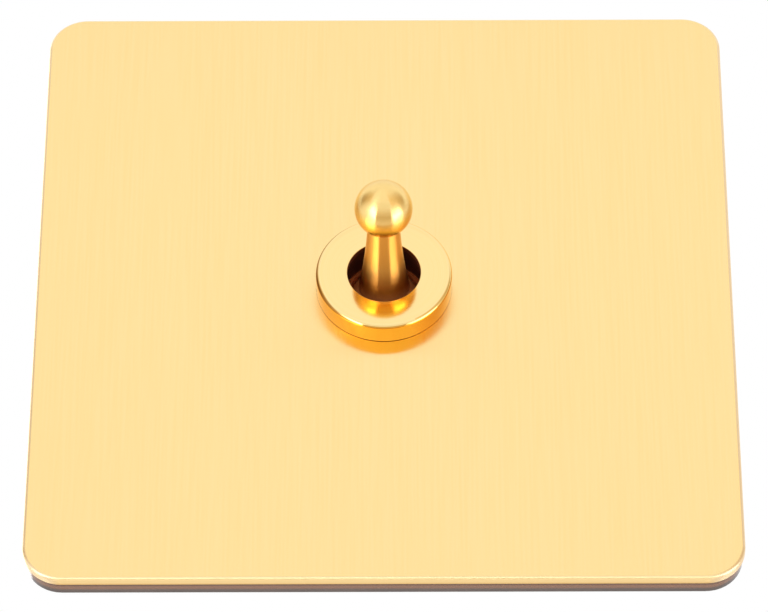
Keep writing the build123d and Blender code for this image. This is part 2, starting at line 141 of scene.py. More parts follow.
def linear(hex_colour):
    """A colour written as #RRGGBB in sRGB, as the linear RGBA that a shader takes."""
    values = [int(hex_colour[i:i + 2], 16) / 255 for i in (1, 3, 5)]
    return [v / 12.92 if v <= 0.04045 else ((v + 0.055) / 1.055) ** 2.4 for v in values] + [1.0]


def add_node(tree, kind, inputs=None, **settings):
    """A node of a kind, with its settings. An input is a value, or an output to link."""
    node = tree.nodes.new(kind)
    for name, value in settings.items():
        setattr(node, name, value)
    for name, value in (inputs or {}).items():
        if isinstance(value, bpy.types.NodeSocket):
            tree.links.new(value, node.inputs[name])
        else:
            node.inputs[name].default_value = value
    return node


def empty_material(name):
    material = bpy.data.materials.new(name)
    material.use_nodes = True
    material.node_tree.nodes.clear()
    return material, material.node_tree


def new_material(name, **shader_inputs):
    """A material with a Principled shader that has these inputs set. Transmission_Weight
    stands for Transmission Weight, and so on."""
    material, tree = empty_material(name)
    shader = add_node(tree, "ShaderNodeBsdfPrincipled", {
        key.replace("_", " "): value for key, value in shader_inputs.items()})
    add_node(tree, "ShaderNodeOutputMaterial", {"Surface": shader.outputs[0]})
    return material, tree, shader


def link(tree, shader, **outputs):
    """Links outputs to the shader's inputs. Base_Color stands for Base Color, and so on."""
    for name, output in outputs.items():
        tree.links.new(output, shader.inputs[name.replace("_", " ")])


def on_object(tree, output="Object"):
    """The place, or the normal, in the object's own coordinates."""
    return add_node(tree, "ShaderNodeTexCoord").outputs[output]


def along(tree, vector, axis):
    """The part of a vector that lies along X, Y or Z."""
    return add_node(tree, "ShaderNodeSeparateXYZ", {0: vector}).outputs[axis]


def maths(tree, operation, first, second=0.0, third=0.0):
    """One sum on numbers."""
    return add_node(tree, "ShaderNodeMath", {0: first, 1: second, 2: third},
                    operation=operation).outputs[0]


def vectors(tree, operation, first, second=(0, 0, 0), output=0):
    """One sum on vectors. The output is a vector, or the number called Value."""
    return add_node(tree, "ShaderNodeVectorMath", {0: first, 1: second},
                    operation=operation).outputs[output]


def to_world(tree, direction):
    """A direction on the object, as the shader's tangent takes it."""
    return add_node(tree, "ShaderNodeVectorTransform", {"Vector": direction},
                    vector_type="VECTOR", convert_from="OBJECT", convert_to="WORLD").outputs[0]


def spots(tree, *size):
    """Object coordinates, in steps of size (x, y, z) millimetres."""
    scale = [1 / (step * mm) for step in size]
    return add_node(tree, "ShaderNodeMapping", {
        "Vector": on_object(tree), "Scale": scale,
    }).outputs[0]


def noise(tree, place, detail=2.0):
    """Smooth noise about one step wide, that mostly runs from 0.35 to 0.65."""
    return add_node(tree, "ShaderNodeTexNoise", {
        "Vector": place, "Scale": 1.0, "Detail": detail,
    }).outputs["Fac"]


def spread(tree, value, low, high, start=0.35, end=0.65):
    """A value that runs from start to end, as noise does, stretched from low to high."""
    return add_node(tree, "ShaderNodeMapRange", {
        "Value": value, "From Min": start, "From Max": end, "To Min": low, "To Max": high,
    }).outputs["Result"]


def ramp(tree, value, start, end):
    """0 where a value is at start or short of it, 1 where it has come to end."""
    return spread(tree, value, 0.0, 1.0, start, end)


def both(tree, first, second):
    """How far two ramps hold at once."""
    return maths(tree, "MULTIPLY", first, second)


def between(tree, share, colour, other):
    """A colour that turns into another as the share goes from 0 to 1."""
    return add_node(tree, "ShaderNodeMix", {
        0: share,
        6: colour if isinstance(colour, bpy.types.NodeSocket) else linear(colour),
        7: other if isinstance(other, bpy.types.NodeSocket) else linear(other),
    }, data_type="RGBA").outputs[2]


def varied(tree, pattern, colour, other):
    """A colour that varies into another with noise."""
    return between(tree, spread(tree, pattern, 0.0, 1.0), colour, other)


def bump(tree, height, depth):
    """A normal from a height that runs from 0 to 1, for marks of a depth in millimetres."""
    return add_node(tree, "ShaderNodeBump", {
        "Height": height, "Strength": 1.0, "Distance": depth * mm,
    }).outputs[0]


def facing(tree, direction, start, end):
    """From 0 to 1 as the surface comes to face a direction. Start and end are cosines."""
    cosine = vectors(tree, "DOT_PRODUCT", on_object(tree, "Normal"), direction, "Value")
    return ramp(tree, cosine, start, end)


def depth_in_wall(tree):
    """How deep a place lies, in millimetres along Y. In front of the wall it is negative."""
    return maths(tree, "DIVIDE", along(tree, on_object(tree), "Y"), mm)


def across_the_grain(tree, grain):
    """The direction in the surface that runs across a straight grain, for the gloss."""
    return to_world(tree, vectors(tree, "CROSS_PRODUCT", on_object(tree, "Normal"), grain))


def turned(tree, centre, axis):
    """Height along a turning axis and radius from it, in millimetres, and the direction
    in the surface that runs across the tool's rings."""
    place = vectors(tree, "SUBTRACT", on_object(tree), centre)
    around = vectors(tree, "CROSS_PRODUCT", axis, place)
    height = maths(tree, "DIVIDE", vectors(tree, "DOT_PRODUCT", place, axis, "Value"), mm)
    radius = maths(tree, "DIVIDE", vectors(tree, "LENGTH", around, output="Value"), mm)
    meridian = vectors(tree, "CROSS_PRODUCT", around, on_object(tree, "Normal"))
    return height, radius, to_world(tree, meridian)


def rings(tree, height, radius, step):
    """Noise that changes only across the rings that a lathe tool leaves, a step apart."""
    feed = maths(tree, "DIVIDE", maths(tree, "ADD", height, radius), step)
    return add_node(tree, "ShaderNodeTexNoise", {
        "W": feed, "Scale": 1.0, "Detail": 2.0,
    }, noise_dimensions="1D").outputs["Fac"]


# Metals


def brushed_brass():
    """Sheet brass, brushed up and down on a belt and lacquered. It shows a pale straw
    gold, with a faint upright grain that widens each reflection sideways. The arris is
    painted pale on the straight stretches and peach at the corners, a painted highlight.
    The sides are painted peach at left and right, a painted reflection, and the top and
    bottom sides are painted darker towards their rear edge, a painted shade."""
    material, tree, shader = new_material("brushed_brass", Metallic=1.0, Anisotropic=0.95)
    # Belt marks of 120 grit are about 0.1 mm wide: drawn at 0.3 mm, so that they show.
    grain = noise(tree, spots(tree, 0.3, 0.3, 14), 3.0)
    streaks = noise(tree, spots(tree, 3.0, 3.0, 70))
    fine = varied(tree, grain, "#FFDF9B", "#FFE2A1")
    brushed = between(tree, spread(tree, streaks, 0.0, 0.12), fine, "#FFE7A8")
    sideways = maths(tree, "ABSOLUTE", along(tree, on_object(tree, "Normal"), "X"))
    across = ramp(tree, sideways, 0.04, 0.3)
    eased = facing(tree, towards_room, 0.995, 0.93)
    # Painted highlight: the arris is painted paler than the face, and peach at the corners.
    arris_highlight = between(tree, across, "#FFEAB4", "#FFE4B8")
    # Painted shade: the rear edge of the top and bottom sides is darker, from 0.4 mm to 0.1 mm off
    # the back.
    rear_shade_start, rear_shade_end = 0.4, 0.1
    rear_shade = ramp(tree, depth_in_wall(tree), -plate_back - rear_shade_start, -plate_back - rear_shade_end)
    shaded_side = between(tree, rear_shade, "#FFDC9C", "#F4CA84")
    side = facing(tree, towards_room, 0.6, 0.2)
    # Painted reflection: the left and right sides are painted peach, and painted shade darkens the
    # rear edges.
    link(tree, shader,
         Base_Color=between(tree, side, between(tree, eased, brushed, arris_highlight),
                            between(tree, across, shaded_side, "#FFE2B4")),
         Roughness=maths(tree, "MULTIPLY_ADD", eased, 0.12, spread(tree, grain, 0.19, 0.23)),
         Normal=bump(tree, grain, 0.0008),
         Tangent=across_the_grain(tree, Vector((0, 0, 1))))
    return material


def turned_brass_collar():
    """Brass bar, turned and lacquered: the face is faced to a pale satin with fine
    rings, and the side and the bevel are bright and painted a deeper gold, a painted
    reflection. The rim is painted darker on the left, a painted reflection of something
    dark, the foot is painted darker where the collar meets the plate, a painted shade,
    and the mouth is painted nearly black, a painted shade."""
    material, tree, shader = new_material("turned_brass_collar", Anisotropic=0.4)
    height, radius, across = turned(tree, (0, 0, 0), towards_room)
    # Facing feed of about 0.1 mm a turn, drawn at 0.2 mm.
    marks = rings(tree, height, radius, 0.2)
    faced = varied(tree, marks, "#FFE19B", "#FFE3A1")
    # Painted reflection: the side and the bevel are a deeper gold than the face.
    gold = between(tree, facing(tree, towards_room, 0.35, 0.75), "#FFC047", faced)
    # Painted reflection of something dark: the rim is darker on the left.
    rim = both(tree, facing(tree, towards_room, 0.15, 0.35), facing(tree, towards_room, 0.9, 0.75))
    dark_rim_reflection = both(tree, rim, facing(tree, (-1, 0, 0), 0.3, 0.5))
    gold = between(tree, dark_rim_reflection, gold, "#B07C38")
    # Painted shade: a thin darker line on the foot, where the collar meets the plate.
    foot_top = plate_front + collar_foot
    foot_shade = ramp(tree, height, foot_top + collar_foot_rounding, foot_top)
    gold = between(tree, foot_shade, gold, "#D08C3C")
    # Painted shade: the mouth is painted nearly black, starting on the rounding, from 0.08 mm to
    # 0.02 mm outside the mouth's wall.
    black_start, black_end = 0.08, 0.02
    inside = ramp(tree, radius, collar_mouth + black_start, collar_mouth + black_end)
    link(tree, shader,
         Base_Color=between(tree, inside, gold, "#5C3022"),
         Metallic=maths(tree, "MULTIPLY_ADD", inside, -0.8, 1.0),
         Roughness=maths(tree, "MULTIPLY_ADD", inside, 0.3, spread(tree, marks, 0.07, 0.11)),
         Normal=bump(tree, marks, 0.0005),
         Tangent=across)
    return material


def turned_brass_lever():
    """Brass bar, turned. The knob is a pale satin gold, painted a deeper orange behind,
    a painted reflection of the gold below it. The neck is polished, with fine rings that
    draw each reflection out along it, and painted a deeper gold, deeper still towards the
    collar's mouth, a painted reflection. The pivot ball in the dark of the collar is dull
    and painted a pale orange that is not metal, so that it shows red-brown in the shade:
    painted light."""
    material, tree, shader = new_material("turned_brass_lever", Anisotropic=1.0)
    height, radius, across = turned(tree, pivot, lever_axis)
    # Finishing feed of about 0.08 mm a turn, drawn at 0.15 mm.
    marks = rings(tree, height, radius, 0.15)
    # The reaches between which one look turns into the next.
    neck_top, knob_foot = 13.0, 13.3
    neck_bright, neck_deep = 8.0, 4.2
    lit_ball_start, lit_ball_end = 4.8, 3.0
    tail_start, ball_end = -4.4, -3.6
    knob = ramp(tree, height, neck_top, knob_foot)
    above_tail = ramp(tree, height, tail_start, ball_end)
    deep = both(tree, ramp(tree, height, neck_bright, neck_deep), above_tail)
    lit_ball = both(tree, ramp(tree, height, lit_ball_start, lit_ball_end), above_tail)
    # Painted reflection: the knob is a deeper orange where it faces back along the lever.
    pale = between(tree, facing(tree, lever_axis, 0.15, -0.25), "#FFDC90", "#FFBE46")
    # Painted reflection: the neck is a deeper gold than the knob, deeper still towards the collar's
    # mouth.
    neck = between(tree, deep, "#FFBF62", "#FF932A")
    gold = between(tree, knob, neck, pale)
    satin = spread(tree, knob, 0.31, 0.20, 0.0, 1.0)
    # Painted light: the pivot ball is a pale orange, not metal, so that it shows red-brown in the
    # collar's shade.
    link(tree, shader,
         Base_Color=between(tree, lit_ball, gold, "#FFA664"),
         Metallic=maths(tree, "SUBTRACT", 1.0, lit_ball),
         Roughness=maths(tree, "ADD", satin, spread(tree, marks, -0.02, 0.03)),
         Normal=bump(tree, marks, 0.0005),
         Tangent=across)
    return material


def bushing_brass():
    """The bushing's turned brass: a plain yellow, painted nearly black in its mouth, a
    painted shade, with a ledge round the pivot ball painted a red-brown orange that is
    not metal, darker where it faces the room, a painted shade."""
    material, tree, shader = new_material("bushing_brass")
    height, radius, across = turned(tree, (0, 0, 0), towards_room)
    # Turning feed of about 0.15 mm a turn, drawn at 0.2 mm.
    marks = rings(tree, height, radius, 0.2)
    outside, bore = 5.2, 5.12
    ledge_top, ledge_level = 1.5, 1.1
    inside = ramp(tree, radius, outside, bore)
    ledge = both(tree, inside, ramp(tree, height, ledge_top, ledge_level))
    # Painted shade: the ledge is a red-brown orange, darker where it faces the room and takes more
    # light.
    shaded_ledge = between(tree, facing(tree, towards_room, 0.5, 0.9), "#FFB474", "#DC8446")
    # Painted shade: the mouth is nearly black.
    mouth_shade = between(tree, inside, "#DDB668", "#5C3022")
    link(tree, shader,
         Base_Color=between(tree, ledge, mouth_shade, shaded_ledge),
         Metallic=maths(tree, "SUBTRACT", 1.0, inside),
         Roughness=maths(tree, "MULTIPLY_ADD", inside, 0.3, spread(tree, marks, 0.25, 0.4)),
         Normal=bump(tree, marks, 0.001),
         Tangent=across)
    return material


def machined_brass():
    """Free-cutting brass, sawn and milled, not polished: a yellower, duller gold with
    tool marks across each face and a breath of tarnish."""
    material, tree, shader = new_material("machined_brass", Metallic=1.0)
    # Milling marks of about 0.05 mm, drawn at 0.12 mm.
    marks = noise(tree, spots(tree, 2.5, 0.12, 2.5))
    tarnish = noise(tree, spots(tree, 3.0, 3.0, 3.0), 3.0)
    link(tree, shader,
         Base_Color=varied(tree, tarnish, "#E8C271", "#C99F52"),
         Roughness=spread(tree, marks, 0.22, 0.38),
         Normal=bump(tree, marks, 0.002))
    return material


def zinc_plated_steel():
    """Cold-rolled steel strip, pressed and zinc plated with a clear blue passivate: a
    cool pale grey, faintly mottled, with soft rolling lines."""
    material, tree, shader = new_material("zinc_plated_steel", Metallic=1.0)
    mottle = noise(tree, spots(tree, 2.2, 2.2, 2.2), 4.0)
    # Rolling lines of about 0.05 mm, drawn at 0.25 mm.
    rolled = noise(tree, spots(tree, 0.25, 2.0, 18))
    tint = varied(tree, mottle, "#C4C8CC", "#B9BCBD")
    link(tree, shader,
         Base_Color=between(tree, spread(tree, rolled, 0.0, 0.25), tint, "#DCE0E4"),
         Roughness=spread(tree, mottle, 0.3, 0.4),
         Normal=bump(tree, rolled, 0.0012))
    return material


def turned_steel():
    """Steel screws and pin, turned or rolled, and zinc plated: a grey warmer and a
    little darker than the strap's."""
    material, tree, shader = new_material("turned_steel", Metallic=1.0)
    mottle = noise(tree, spots(tree, 0.9, 0.9, 0.9))
    link(tree, shader,
         Base_Color=varied(tree, mottle, "#C6C5C0", "#B8B7B1"),
         Roughness=spread(tree, mottle, 0.24, 0.32))
    return material


def drawn_spring_steel():
    """Patented steel wire, drawn and oiled: dark grey and smooth, with faint die lines."""
    material, tree, shader = new_material("drawn_spring_steel", Metallic=1.0)
    lines = noise(tree, spots(tree, 0.05, 1.0, 0.05))
    link(tree, shader,
         Base_Color=varied(tree, lines, "#8A8D92", "#A3A6AA"),
         Roughness=spread(tree, lines, 0.2, 0.32),
         Normal=bump(tree, lines, 0.001))
    return material


def rolled_copper():
    """Hard-rolled copper strip, stamped: salmon pink with brown tarnish that gathers in
    patches, and rolling lines along the strip."""
    material, tree, shader = new_material("rolled_copper", Metallic=1.0)
    patches = noise(tree, spots(tree, 2.0, 2.0, 2.0), 4.0)
    # Rolling lines of about 0.05 mm, drawn at 0.15 mm.
    lines = noise(tree, spots(tree, 0.15, 1.0, 6.0))
    link(tree, shader,
         Base_Color=varied(tree, patches, "#E09A70", "#B06A45"),
         Roughness=spread(tree, lines, 0.2, 0.34),
         Normal=bump(tree, lines, 0.0015))
    return material


def contact_silver():
    """Silver rivets, cold headed: white metal, satin, with a yellowish sulphide film."""
    material, tree, shader = new_material("contact_silver", Metallic=1.0)
    film = noise(tree, spots(tree, 0.8, 0.8, 0.8), 3.0)
    link(tree, shader,
         Base_Color=varied(tree, film, "#E6E5E0", "#CFC8B4"),
         Roughness=spread(tree, film, 0.22, 0.34))
    return material


# Plastics


def smoky_polycarbonate():
    """Clear polycarbonate with a smoky tint, moulded and polished in the tool: a warm grey
    near the wall. The light that its edge pipes from the brass is painted in, a paler
    brown in the middle, and so is the shade right under the plate, a dark brown where
    light is shut out."""
    material, tree, shader = new_material(
        "smoky_polycarbonate", IOR=1.585, Roughness=0.12, Transmission_Weight=0.45)
    flow = noise(tree, spots(tree, 6.0, 3.0, 6.0))
    depth = depth_in_wall(tree)
    # The depths between which the grey turns paler, and then dark.
    grey_depth, pale_depth = -0.8, -1.3
    lit_depth, dark_depth = -1.6, -2.0
    smoke = varied(tree, flow, "#6B5850", "#62524C")
    # Painted light along the edge, then painted shade right under the plate.
    piped = between(tree, ramp(tree, depth, grey_depth, pale_depth), smoke, "#A67558")
    shut_out = ramp(tree, depth, lit_depth, dark_depth)
    link(tree, shader, Base_Color=between(tree, shut_out, piped, "#6A3E22"))
    return material


def moulded_urea():
    """Urea resin, compression moulded: an opaque warm white with a low gloss from the
    tool's fine spark-eroded texture."""
    material, tree, shader = new_material("moulded_urea", IOR=1.54)
    # Spark-eroded texture of about 0.05 mm, drawn at 0.15 mm.
    texture = noise(tree, spots(tree, 0.15, 0.15, 0.15))
    cloud = noise(tree, spots(tree, 7.0, 7.0, 7.0), 3.0)
    link(tree, shader,
         Base_Color=varied(tree, cloud, "#F0EEE4", "#E6E2D5"),
         Roughness=spread(tree, texture, 0.34, 0.5),
         Normal=bump(tree, texture, 0.006))
    return material


def moulded_nylon():
    """Black nylon 66, injection moulded: near black, with a waxy low gloss."""
    material, tree, shader = new_material("moulded_nylon", IOR=1.53)
    # Tool texture of about 0.05 mm, drawn at 0.12 mm.
    texture = noise(tree, spots(tree, 0.12, 0.12, 0.12))
    link(tree, shader,
         Base_Color=varied(tree, texture, "#1E1F22", "#2B2C30"),
         Roughness=spread(tree, texture, 0.42, 0.56),
         Normal=bump(tree, texture, 0.004))
    return material


# The finish of each of the record's slots, and of two nodes that differ from their slot
finishes = {
    "satin_brass": brushed_brass(),
    "polished_brass": turned_brass_lever(),
    "clear_plastic": smoky_polycarbonate(),
    "zinc_steel": zinc_plated_steel(),
    "screw_steel": turned_steel(),
    "spring_steel": drawn_spring_steel(),
    "machined_brass": machined_brass(),
    "urea_white": moulded_urea(),
    "nylon_black": moulded_nylon(),
    "contact_copper": rolled_copper(),
    "contact_silver": contact_silver(),
}
own_finish = {
    "collar": turned_brass_collar(),
    "bushing": bushing_brass(),
}
slot_of = {s["node"]: s["material_slot"] for s in frame["record"]["subparts"]}


def finish_of(node_name):
    return own_finish.get(node_name, finishes[slot_of[node_name]])


for name, node in nodes.items():
    node.data.materials.clear()
    node.data.materials.append(finish_of(name))


# Pieces modelled here: the tools that they share


def select_only(piece):
    bpy.ops.object.select_all(action="DESELECT")
    piece.select_set(True)
    bpy.context.view_layer.objects.active = piece


def pick_edges(test):
    """In edit mode, selects only the edges that pass a test."""
    bpy.ops.mesh.select_mode(type="EDGE")
    bpy.ops.mesh.select_all(action="DESELECT")
    data = bpy.context.object.data
    mesh = bmesh.from_edit_mesh(data)
    for edge in mesh.edges:
        if test(edge):
            edge.select_set(True)
    bmesh.update_edit_mesh(data)


def apply(piece, kind, **settings):
    """Adds a modifier with its settings, and applies it."""
    modifier = piece.modifiers.new(kind.lower(), kind)
    for name, value in settings.items():
        setattr(modifier, name, value)
    bpy.context.view_layer.objects.active = piece
    bpy.ops.object.modifier_apply(modifier=modifier.name)


def cut_away(piece, cutter):
    """Takes a cutter's shape out of a piece, and removes the cutter."""
    cutter.select_set(False)
    apply(piece, "BOOLEAN", object=cutter, operation="DIFFERENCE", solver="EXACT")
    bpy.data.objects.remove(cutter)


def smooth(piece, angle=30):
    """Smooth shading, with flat faces kept flat beside their rounded edges."""
    select_only(piece)
    bpy.ops.object.shade_smooth_by_angle(angle=radians(angle))
    apply(piece, "WEIGHTED_NORMAL", keep_sharp=True)
    piece.select_set(False)


def finish_piece(piece, name, body, node_name):
    """Names a piece, gives it its finish, and sets it in a node's place."""
    piece.name = name
    piece.data.name = name
    piece.data.materials.clear()
    piece.data.materials.append(finish_of(node_name))
    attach(piece, body)
    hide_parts(node_name)


def turn(profile, centre, axis, steps=192):
    """A piece turned from a profile of (radius, height) in millimetres about an axis."""
    seam_gap = 0.0005 * mm
    bpy.ops.mesh.primitive_plane_add(size=mm)
    piece = bpy.context.object
    places = [centre + (Vector((1, 0, 0)) * radius + axis * height) * mm
              for radius, height in profile]
    bpy.ops.object.mode_set(mode="EDIT")
    bpy.ops.mesh.select_mode(type="VERT")
    bpy.ops.mesh.select_all(action="SELECT")
    bpy.ops.mesh.merge(type="CENTER")
    bpy.ops.transform.translate(value=places[0])
    for start, end in zip(places, places[1:]):
        bpy.ops.mesh.extrude_region_move(TRANSFORM_OT_translate={"value": end - start})
    bpy.ops.mesh.select_all(action="SELECT")
    bpy.ops.mesh.spin(steps=steps, angle=tau, center=centre, axis=axis)
    bpy.ops.mesh.select_all(action="SELECT")
    bpy.ops.mesh.remove_doubles(threshold=seam_gap)
    bpy.ops.mesh.normals_make_consistent(inside=False)
    bpy.ops.object.mode_set(mode="OBJECT")
    smooth(piece)
    return piece


def arc(centre_height, size, start, end, steps):
    """Points of an arc of a profile, about a centre on the axis. An angle is 0 along the
    axis and 90 straight out."""
    turns = [radians(start + (end - start) * i / steps) for i in range(steps + 1)]
    return [(size * sin(a), centre_height + size * cos(a)) for a in turns]


def rounded(corners, steps=6):
    """A profile whose corners are rounded. Each corner is (radius, height) and the size
    of its rounding, in millimetres."""
    places = [Vector(place) for place, size in corners]
    profile = []
    for i, (place, size) in enumerate(corners):
        if not size:
            profile.append(tuple(places[i]))
            continue
        before = (places[i - 1] - places[i]).normalized()
        after = (places[i + 1] - places[i]).normalized()
        half = before.angle(after) / 2
        middle = places[i] + (before + after).normalized() * size / sin(half)
        first = places[i] + before * size / tan(half) - middle
        last = places[i] + after * size / tan(half) - middle
        for step in range(steps + 1):
            towards = first.lerp(last, step / steps).normalized()
            profile.append(tuple(middle + towards * size))
    return profile


# The pieces


def make_plate():
    """Front plate: a square with round corners, an eased front edge and the hole."""
    middle = Vector((0, -(plate_front + plate_back) / 2, 0)) * mm
    thickness = plate_front - plate_back
    bpy.ops.mesh.primitive_cube_add(size=mm, location=middle,
                                    scale=(plate_side, thickness, plate_side))
    piece = bpy.context.object
    bpy.ops.object.transform_apply()

    def runs_through(edge):
        return abs((edge.verts[0].co - edge.verts[1].co).y) > thickness * mm / 2

    def is_front_edge(edge):
        hair = 0.001 * mm
        at_front = all(abs(v.co.y + plate_front * mm) < hair for v in edge.verts)
        beside_a_side = any(abs(face.normal.y) < 0.5 for face in edge.link_faces)
        return at_front and beside_a_side

    bpy.ops.object.mode_set(mode="EDIT")
    pick_edges(runs_through)
    bpy.ops.mesh.bevel(offset=plate_corner * mm, segments=32, affect="EDGES")
    pick_edges(is_front_edge)
    bpy.ops.mesh.bevel(offset=plate_arris * mm, segments=8, affect="EDGES")
    bpy.ops.object.mode_set(mode="OBJECT")
    drill_length = 4 * mm
    bpy.ops.mesh.primitive_cylinder_add(vertices=128, radius=plate_hole * mm, depth=drill_length,
                                        location=middle, rotation=(radians(90), 0, 0))
    cut_away(piece, bpy.context.object)
    smooth(piece)
    finish_piece(piece, "brushed_plate", "root", "front_plate")


def make_collar():
    """Collar: a turned ring with a round rim, a lip over the bushing and an undercut foot."""
    middle = (collar_mouth + collar_radius) / 2
    profile = rounded([
        ((middle, collar_top), 0),
        ((collar_radius, collar_top), collar_rim),
        ((collar_radius, plate_front + collar_foot), collar_foot_rounding),
        ((collar_radius - collar_undercut, plate_front), 0),
        ((collar_bore, plate_front), 0),
        ((collar_bore, collar_lip_back), 0),
        ((collar_mouth, collar_lip_back), collar_lip_rounding),
        ((collar_mouth, collar_top), collar_mouth_rounding),
        ((middle, collar_top), 0),
    ])
    piece = turn(profile, Vector((0, 0, 0)), towards_room, steps=256)
    finish_piece(piece, "turned_collar", "root", "collar")


def waist(reach):
    """The neck's radius at a reach: a hollow arc through its top, its middle and its root,
    whose centre lies far out beside it."""
    places = [(neck_top_reach, neck_radius), (neck_mid_reach, neck_mid_radius),
              (neck_root_reach, neck_root_radius)]
    (x1, y1), (x2, y2), (x3, y3) = places
    s1, s2, s3 = [x ** 2 + y ** 2 for x, y in places]
    twist = 2 * (x1 * (y2 - y3) + x2 * (y3 - y1) + x3 * (y1 - y2))
    centre_x = (s1 * (y2 - y3) + s2 * (y3 - y1) + s3 * (y1 - y2)) / twist
    centre_y = (s1 * (x3 - x2) + s2 * (x1 - x3) + s3 * (x2 - x1)) / twist
    size_squared = (x1 - centre_x) ** 2 + (y1 - centre_y) ** 2
    return centre_y - sqrt(size_squared - (reach - centre_x) ** 2)


def make_lever():
    """Lever: knob, groove, waisted neck, pivot ball and tail, turned in one piece."""
    knob_end = 180 - degrees(asin(neck_radius / knob_radius))
    knob = arc(knob_reach, knob_radius, 0, knob_end, steps=48)
    knob[0] = (0, knob_reach + knob_radius)
    groove_radius = neck_radius - groove_depth
    groove_end = neck_top_reach - groove_width
    groove = [
        (groove_radius, neck_top_reach - groove_flank),
        (groove_radius, groove_end + groove_flank),
    ]
    neck_steps = 24
    neck_step = (neck_root_reach - groove_end) / neck_steps
    reaches = [groove_end + neck_step * i for i in range(neck_steps + 1)]
    neck = [(waist(reach), reach) for reach in reaches]
    ball_start = degrees(asin(neck_root_radius / pivot_ball_radius))
    ball_end = 180 - degrees(asin(tail_radius / pivot_ball_radius))
    ball = arc(0, pivot_ball_radius, ball_start, ball_end, steps=32)[1:]
    tail = [(tail_radius, -tail_reach), (0, -tail_reach)]
    piece = turn(knob + groove + neck + ball + tail, pivot, lever_axis)
    finish_piece(piece, "turned_lever", "lever", "lever")


def make_spring():
    """Plunger spring: round wire, wound with an open pitch between the lever's tail and
    the plunger."""
    steps = 32 * spring_turns
    bpy.ops.mesh.primitive_circle_add(vertices=16, radius=spring_wire * mm,
                                      location=(spring_coil_radius * mm, 0, 0),
                                      rotation=(radians(90), 0, 0))
    piece = bpy.context.object
    bpy.ops.object.transform_apply()
    apply(piece, "SCREW", axis="Z", angle=tau * spring_turns, steps=steps, render_steps=steps,
          screw_offset=(spring_length - 2 * spring_end_gap) * mm)
    bpy.ops.object.mode_set(mode="EDIT")
    bpy.ops.mesh.select_all(action="SELECT")
    bpy.ops.mesh.fill_holes(sides=0)
    bpy.ops.mesh.select_all(action="SELECT")
    bpy.ops.mesh.normals_make_consistent(inside=False)
    bpy.ops.object.mode_set(mode="OBJECT")
    tail_end = pivot - lever_axis * tail_reach * mm
    piece.rotation_euler = lever_axis.to_track_quat("-Z", "Y").to_euler()
    piece.location = tail_end - lever_axis * spring_end_gap * mm
    bpy.ops.object.transform_apply()
    smooth(piece, angle=60)
    finish_piece(piece, "wound_spring", "lever", "plunger_spring")
    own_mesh(piece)


def make_screws(node_name, count):
    """Cheese-head screws with a rolled thread and a slot, one above the other, driven in
    from behind the wall. Their places, lengths and heads are those of the node. The
    thread is drawn as rings, and a crest takes 0.15 of the pitch."""
    crest_start, crest_end = 0.4, 0.55
    low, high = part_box(node_name)
    head_radius = (high.x - low.x) / 2 / mm
    middle_x = (low.x + high.x) / 2
    lowest = low.z + head_radius * mm
    spacing = (high.z - low.z - 2 * head_radius * mm) / max(count - 1, 1)
    back, tip = -high.y / mm, -low.y / mm
    under_head = back + screw_head_height
    root = screw_radius - screw_thread_depth
    profile = [(0, tip), (root, tip)]
    turns = int((tip - under_head) / screw_pitch) - 1
    for i in range(turns):
        top = tip - screw_pitch * (i + 0.5)
        profile += [
            (root, top),
            (screw_radius, top - screw_pitch * crest_start),
            (screw_radius, top - screw_pitch * crest_end),
        ]
    profile += [(root, tip - screw_pitch * (turns + 0.5)), (root, under_head)]
    head = rounded([
        ((root, under_head), 0),
        ((head_radius, under_head), screw_head_back_rounding),
        ((head_radius, back), screw_head_top_rounding),
        ((0, back), 0),
    ])
    for i in range(count):
        centre = Vector((middle_x, 0, lowest + spacing * i))
        piece = turn(profile + head[1:], centre, towards_room, steps=48)
        slot_place = Vector((centre.x, high.y, centre.z))
        slot_size = (3 * head_radius, 2 * screw_slot_depth, screw_slot_width)
        bpy.ops.mesh.primitive_cube_add(size=mm, location=slot_place, scale=slot_size)
        cut_away(piece, bpy.context.object)
        smooth(piece)
        finish_piece(piece, f"{node_name}_{i + 1}", "root", node_name)


def soften(node_name, width, body="root"):
    """A copy of a node with its sharp edges eased by a width in millimetres, as a
    tumbler or a moulding tool leaves them. It stands in the node's place."""
    mesh_gap = 0.002 * mm
    flat_angle = radians(1.5)
    edge_angle = 38
    piece = bpy.data.objects.new(node_name + "_eased", nodes[node_name].data.copy())
    bpy.context.scene.collection.objects.link(piece)
    select_only(piece)
    bpy.ops.mesh.customdata_custom_splitnormals_clear()
    bpy.ops.object.mode_set(mode="EDIT")
    bpy.ops.mesh.select_mode(type="VERT")
    bpy.ops.mesh.select_all(action="SELECT")
    bpy.ops.mesh.remove_doubles(threshold=mesh_gap)
    bpy.ops.mesh.dissolve_limited(angle_limit=flat_angle)
    bpy.ops.object.mode_set(mode="OBJECT")
    apply(piece, "BEVEL", width=width * mm, segments=2, limit_method="ANGLE",
          angle_limit=radians(edge_angle))
    smooth(piece, edge_angle)
    finish_piece(piece, node_name + "_eased", body, node_name)


make_plate()
make_collar()
make_lever()
make_spring()
make_screws("terminal_screws", 3)
make_screws("earth_screw", 1)

# How far the edges of the pressed, sawn and moulded pieces are eased, in millimetres
eased_edges = {
    "mounting_strap": 0.12,
    "switch_frame": 0.12,
    "lock_washer": 0.06,
    "hexagon_nut": 0.08,
    "case": 0.25,
    "terminal_base": 0.2,
    "common_terminal": 0.15,
    "upper_terminal": 0.15,
    "lower_terminal": 0.15,
    "earth_terminal": 0.15,
    "common_strip": 0.06,
    "upper_strip": 0.06,
    "lower_strip": 0.06,
    "clear_backing": 0.15,
}
for name, width in eased_edges.items():
    soften(name, width)
soften("rocker", 0.06, "rocker")


# Studio: white all round, soft boxes, grey strips and a pale floor, in metres

